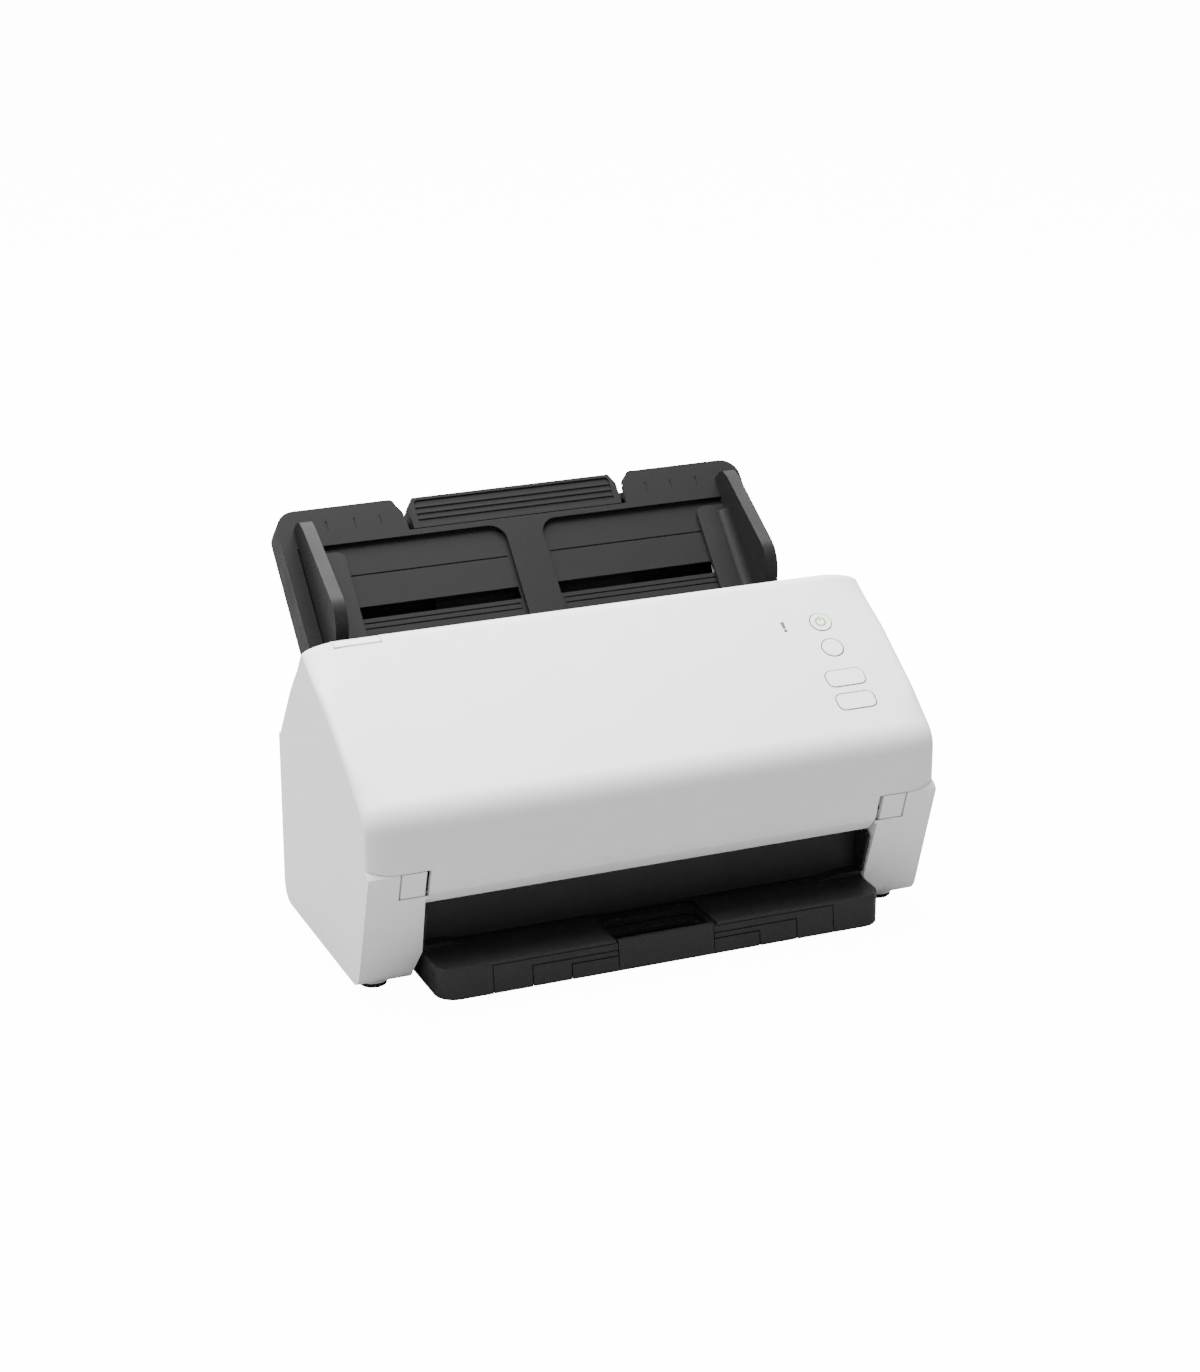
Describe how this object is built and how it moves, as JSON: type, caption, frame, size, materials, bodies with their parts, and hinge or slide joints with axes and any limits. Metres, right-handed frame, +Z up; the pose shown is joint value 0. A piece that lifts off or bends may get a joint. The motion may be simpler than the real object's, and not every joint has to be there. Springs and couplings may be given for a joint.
{
  "type": "sheet fed document scanner",
  "caption": "Desktop sheet fed document scanner with a leaning feed tray, sliding paper guides, a hinged front cover and a nested pull-out exit tray.",
  "frame": {"origin": "middle of the bounding box's footprint, at the level the feet stand on", "axes": "+X to the right side seen from the front, +Y to the back, +Z up"},
  "size_m": [0.299, 0.2161, 0.1893],
  "materials": {
    "case_white": "fine moulded texture",
    "tray_grey": "fine moulded texture",
    "stacker_black": "fine moulded texture",
    "inner_black": "satin moulded",
    "guide_grey": "fine moulded texture",
    "button_white": "semi gloss",
    "light_green": "lit",
    "mark_black": "gloss",
    "scan_glass": "clear",
    "scan_black": "satin",
    "board_green": "solder mask",
    "sheet_steel": "zinc plated",
    "shaft_steel": "ground",
    "roller_rubber": "matt",
    "foot_rubber": "matt",
    "gear_white": "acetal",
    "pinion_brass": "cut",
    "bush_bronze": "sintered",
    "socket_black": "satin",
    "socket_steel": "bright",
    "screw_steel": "black zinc"
  },
  "bodies": {
    "base": {"left_side_cover": "case_white", "right_side_cover": "case_white", "rear_cover": "case_white", "base_pan": "inner_black", "left_frame": "sheet_steel", "right_frame": "sheet_steel", "lower_guide_plate": "inner_black", "lower_scan_unit": "scan_black", "lower_glass": "scan_glass", "feed_tray": "tray_grey", "tray_back": "tray_grey", "stacker_base": "stacker_black", "rubber_feet": "foot_rubber", "main_board": "board_green", "motor": "sheet_steel", "power_jack": "socket_black", "usb_ports": "socket_steel", "hinge_pins": "shaft_steel", "shaft_bushes": "bush_bronze", "gear_guard": "inner_black", "case_screws": "screw_steel"},
    "front_cover": {"cover_shell": "case_white", "cover_inner_frame": "inner_black", "upper_scan_unit": "scan_black", "upper_glass": "scan_glass", "hinge_arms": "case_white", "control_board": "board_green", "status_lens": "mark_black"},
    "latch": {"release_lever": "case_white", "latch_hooks": "sheet_steel"},
    "power_key": {"power_button": "button_white", "power_light": "light_green"},
    "stop_key": {"stop_button": "button_white"},
    "upper_key": {"long_button_upper": "button_white"},
    "lower_key": {"long_button_lower": "button_white"},
    "separation_roll": {"separation_roller": "roller_rubber"},
    "feed_pinch": {"feed_pinch_rollers": "roller_rubber"},
    "eject_pinch": {"eject_pinch_rollers": "roller_rubber"},
    "extension": {"tray_extension": "tray_grey"},
    "extension_tip": {"tray_extension_tip": "tray_grey"},
    "guide_left": {"left_guide": "guide_grey", "left_rack": "gear_white"},
    "guide_right": {"right_guide": "guide_grey", "right_rack": "gear_white"},
    "guide_gear": {"guide_pinion": "gear_white"},
    "stage_2": {"stacker_stage_2": "stacker_black"},
    "stage_3": {"stacker_stage_3": "stacker_black"},
    "stage_4": {"stacker_stage_4": "stacker_black"},
    "pickup_drive": {"pickup_shaft": "shaft_steel", "pickup_tyres": "roller_rubber", "pickup_gear": "gear_white"},
    "feed_drive": {"feed_shaft": "shaft_steel", "feed_tyres": "roller_rubber", "feed_gear": "gear_white"},
    "eject_drive": {"eject_shaft": "shaft_steel", "eject_tyres": "roller_rubber", "eject_gear": "gear_white"},
    "idler_upper": {"idler_gear_upper": "gear_white"},
    "idler_lower": {"idler_gear_lower": "gear_white"},
    "motor_drive": {"motor_pinion": "pinion_brass"}
  },
  "joints": [
    {"name": "cover_hinge", "type": "hinge", "parent": "base", "child": "front_cover", "pos_m": [0, -0.092, 0.0635], "axis": [1, 0, 0], "range_deg": [0, 60]},
    {"name": "release_lever_turn", "type": "hinge", "parent": "front_cover", "child": "latch", "pos_m": [0, -0.009, 0.136], "axis": [1, 0, 0], "range_deg": [-6, 0], "stiffness_Nm_per_rad": 0.4},
    {"name": "power_button_press", "type": "slide", "parent": "front_cover", "child": "power_key", "axis": [0, 0.518, -0.8554], "range_m": [0, 0.001], "stiffness_N_per_m": 300},
    {"name": "stop_button_press", "type": "slide", "parent": "front_cover", "child": "stop_key", "axis": [0, 0.518, -0.8554], "range_m": [0, 0.001], "stiffness_N_per_m": 300},
    {"name": "upper_button_press", "type": "slide", "parent": "front_cover", "child": "upper_key", "axis": [0, 0.518, -0.8554], "range_m": [0, 0.001], "stiffness_N_per_m": 300},
    {"name": "lower_button_press", "type": "slide", "parent": "front_cover", "child": "lower_key", "axis": [0, 0.518, -0.8554], "range_m": [0, 0.001], "stiffness_N_per_m": 300},
    {"name": "separation_roller_spin", "type": "hinge", "parent": "front_cover", "child": "separation_roll", "pos_m": [0, 0.00707, 0.11131], "axis": [1, 0, 0], "continuous": true},
    {"name": "feed_pinch_spin", "type": "hinge", "parent": "front_cover", "child": "feed_pinch", "pos_m": [0, -0.02621, 0.08912], "axis": [1, 0, 0], "continuous": true},
    {"name": "eject_pinch_spin", "type": "hinge", "parent": "front_cover", "child": "eject_pinch", "pos_m": [0, -0.05949, 0.06693], "axis": [1, 0, 0], "continuous": true},
    {"name": "tray_extension_slide", "type": "slide", "parent": "base", "child": "extension", "axis": [0, 0.7071, 0.7071], "range_m": [0, 0.06]},
    {"name": "extension_tip_slide", "type": "slide", "parent": "extension", "child": "extension_tip", "axis": [0, 0.7071, 0.7071], "range_m": [0, 0.045]},
    {"name": "left_guide_slide", "type": "slide", "parent": "base", "child": "guide_left", "axis": [1, 0, 0], "range_m": [0, 0.084]},
    {"name": "right_guide_slide", "type": "slide", "parent": "base", "child": "guide_right", "axis": [1, 0, 0], "range_m": [-0.084, 0]},
    {"name": "guide_pinion_spin", "type": "hinge", "parent": "base", "child": "guide_gear", "pos_m": [0, 0.05737, 0.14617], "axis": [0, -0.7071, 0.7071], "range_deg": [-620, 620]},
    {"name": "stacker_stage_2_slide", "type": "slide", "parent": "base", "child": "stage_2", "axis": [0, -1, 0], "range_m": [0, 0.075]},
    {"name": "stacker_stage_3_slide", "type": "slide", "parent": "stage_2", "child": "stage_3", "axis": [0, -1, 0], "range_m": [0, 0.075]},
    {"name": "stacker_stage_4_slide", "type": "slide", "parent": "stage_3", "child": "stage_4", "axis": [0, -1, 0], "range_m": [0, 0.07]},
    {"name": "feed_shaft_spin", "type": "hinge", "parent": "base", "child": "feed_drive", "pos_m": [0, -0.01772, 0.07639], "axis": [1, 0, 0], "continuous": true},
    {"name": "pickup_shaft_spin", "type": "hinge", "parent": "base", "child": "pickup_drive", "pos_m": [0, 0.01556, 0.09858], "axis": [1, 0, 0], "continuous": true},
    {"name": "eject_shaft_spin", "type": "hinge", "parent": "base", "child": "eject_drive", "pos_m": [0, -0.05101, 0.0542], "axis": [1, 0, 0], "continuous": true},
    {"name": "idler_upper_spin", "type": "hinge", "parent": "base", "child": "idler_upper", "pos_m": [0, -0.00108, 0.08748], "axis": [1, 0, 0], "continuous": true},
    {"name": "idler_lower_spin", "type": "hinge", "parent": "base", "child": "idler_lower", "pos_m": [0, -0.03436, 0.0653], "axis": [1, 0, 0], "continuous": true},
    {"name": "motor_pinion_spin", "type": "hinge", "parent": "base", "child": "motor_drive", "pos_m": [0, -0.00829, 0.06225], "axis": [1, 0, 0], "continuous": true}
  ],
  "couplings": [
    {"joint": "right_guide_slide", "follows": "left_guide_slide", "ratio": -1},
    {"joint": "guide_pinion_spin", "follows": "left_guide_slide", "rad_per_m": -125},
    {"joint": "pickup_shaft_spin", "follows": "feed_shaft_spin", "ratio": 1},
    {"joint": "eject_shaft_spin", "follows": "feed_shaft_spin", "ratio": 1},
    {"joint": "idler_upper_spin", "follows": "feed_shaft_spin", "ratio": -1},
    {"joint": "idler_lower_spin", "follows": "feed_shaft_spin", "ratio": -1},
    {"joint": "motor_pinion_spin", "follows": "feed_shaft_spin", "ratio": -1.4286}
  ]
}
